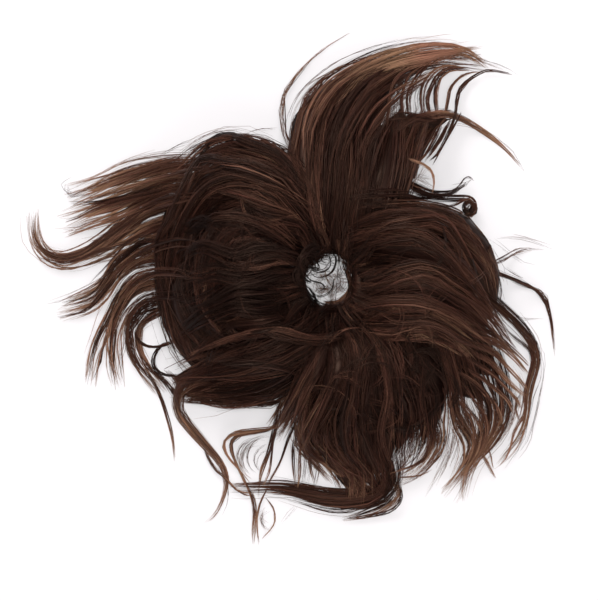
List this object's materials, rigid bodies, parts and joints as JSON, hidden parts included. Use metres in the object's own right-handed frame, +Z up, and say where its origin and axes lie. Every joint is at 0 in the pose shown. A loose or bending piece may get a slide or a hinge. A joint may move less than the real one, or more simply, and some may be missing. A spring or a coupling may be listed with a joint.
{
  "type": "top knot hairpiece",
  "caption": "Messy-bun hairpiece of wavy dark brown locks sewn round a small elastic loop that grips a ponytail, lying on its base.",
  "frame": {"origin": "centre of the whole part's box, at the surface that it lies on", "axes": "+Z up from the surface, along the ponytail's way through the loop; +Y towards the plume's side, the picture's up; +X to the picture's right"},
  "size_m": [0.263, 0.2628, 0.0542],
  "materials": {
    "hair": "wavy synthetic hair fibre, dark brown with a soft sheen and lighter red-brown tips",
    "elastic": "black braided elastic cord",
    "weft": "matte dark brown sewn weft"
  },
  "bodies": {
    "root": {"elastic_loop": "elastic", "weft_band": "weft", "stray_lock": "hair", "notch_lock": "hair", "bridge_lock": "hair", "plume_flick": "hair", "knob_curl": "hair", "side_curl": "hair", "plume": "hair", "right_crown": "hair", "right_main": "hair", "bottom_fall": "hair", "left_crown": "hair", "left_main": "hair", "bottom_left_roll": "hair", "left_sweep": "hair", "left_fan": "hair", "wavy_tail": "hair", "bottom_curls": "hair", "bottom_sweep": "hair", "right_fan": "hair", "right_edge_lock": "hair", "right_flick": "hair"}
  },
  "joints": []
}
